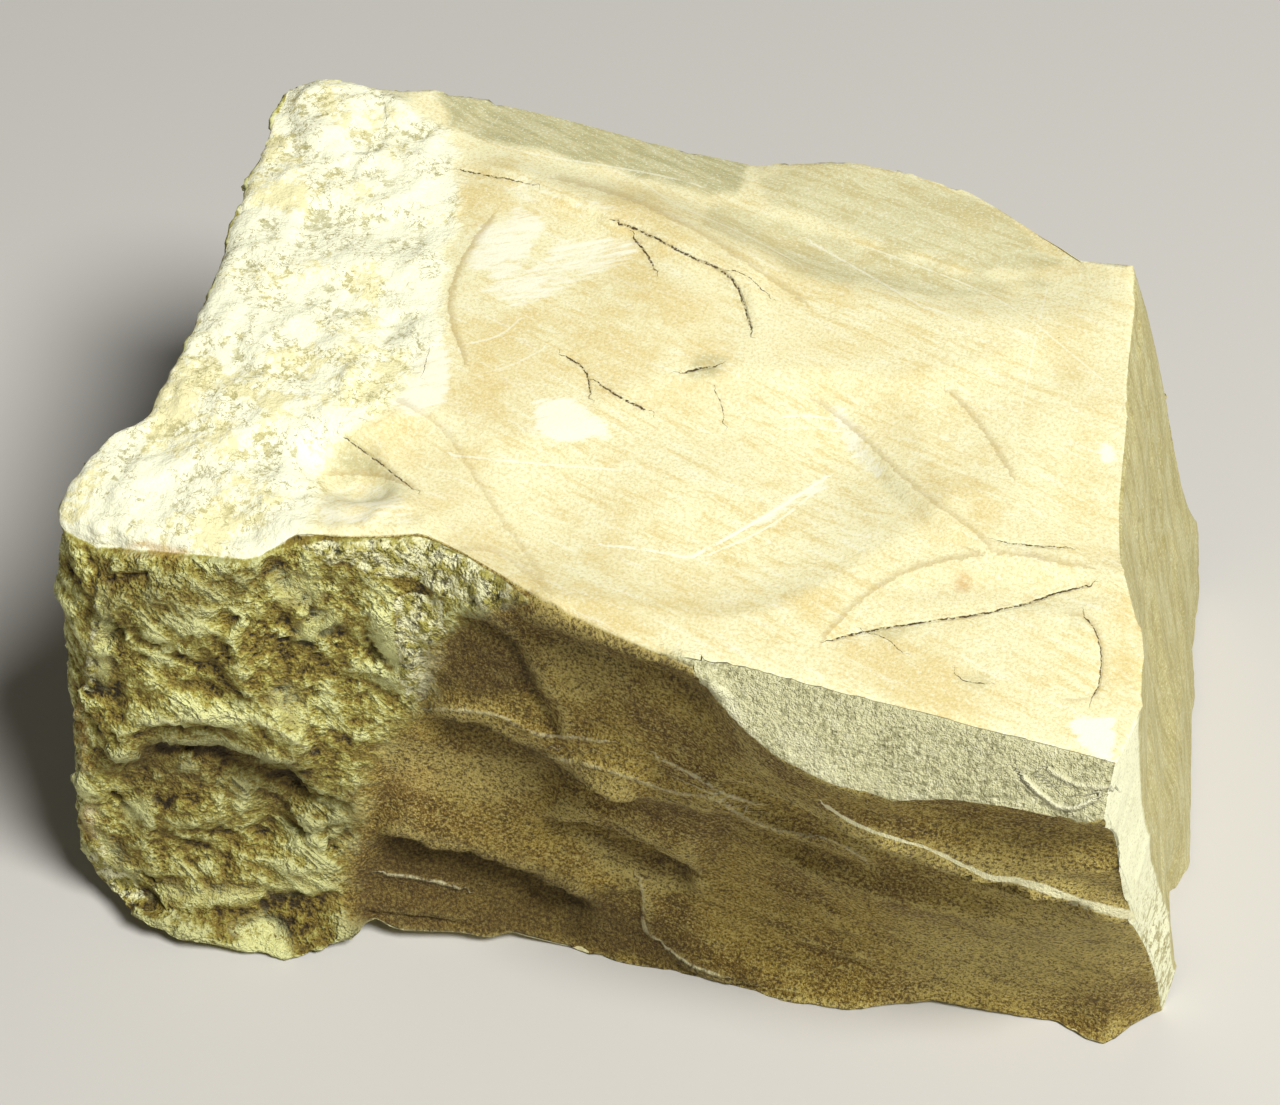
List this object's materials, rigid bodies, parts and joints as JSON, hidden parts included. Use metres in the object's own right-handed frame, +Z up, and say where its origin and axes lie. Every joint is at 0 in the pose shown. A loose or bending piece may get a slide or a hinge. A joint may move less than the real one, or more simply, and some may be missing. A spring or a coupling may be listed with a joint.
{
  "type": "magnesite specimen",
  "caption": "Broken block of dense cream magnesite with shell-like break faces and a rough crust at one end, resting on its underside.",
  "frame": {"origin": "middle of the block's footprint box, at the height of the surface that it rests on", "axes": "+X along the block from the rough crust to the dense end, +Y from the broken front to the back, +Z up"},
  "size_m": [0.1083, 0.0803, 0.0568],
  "materials": {
    "magnesite": "matte"
  },
  "bodies": {
    "root": {"magnesite_block": "magnesite"}
  },
  "joints": []
}
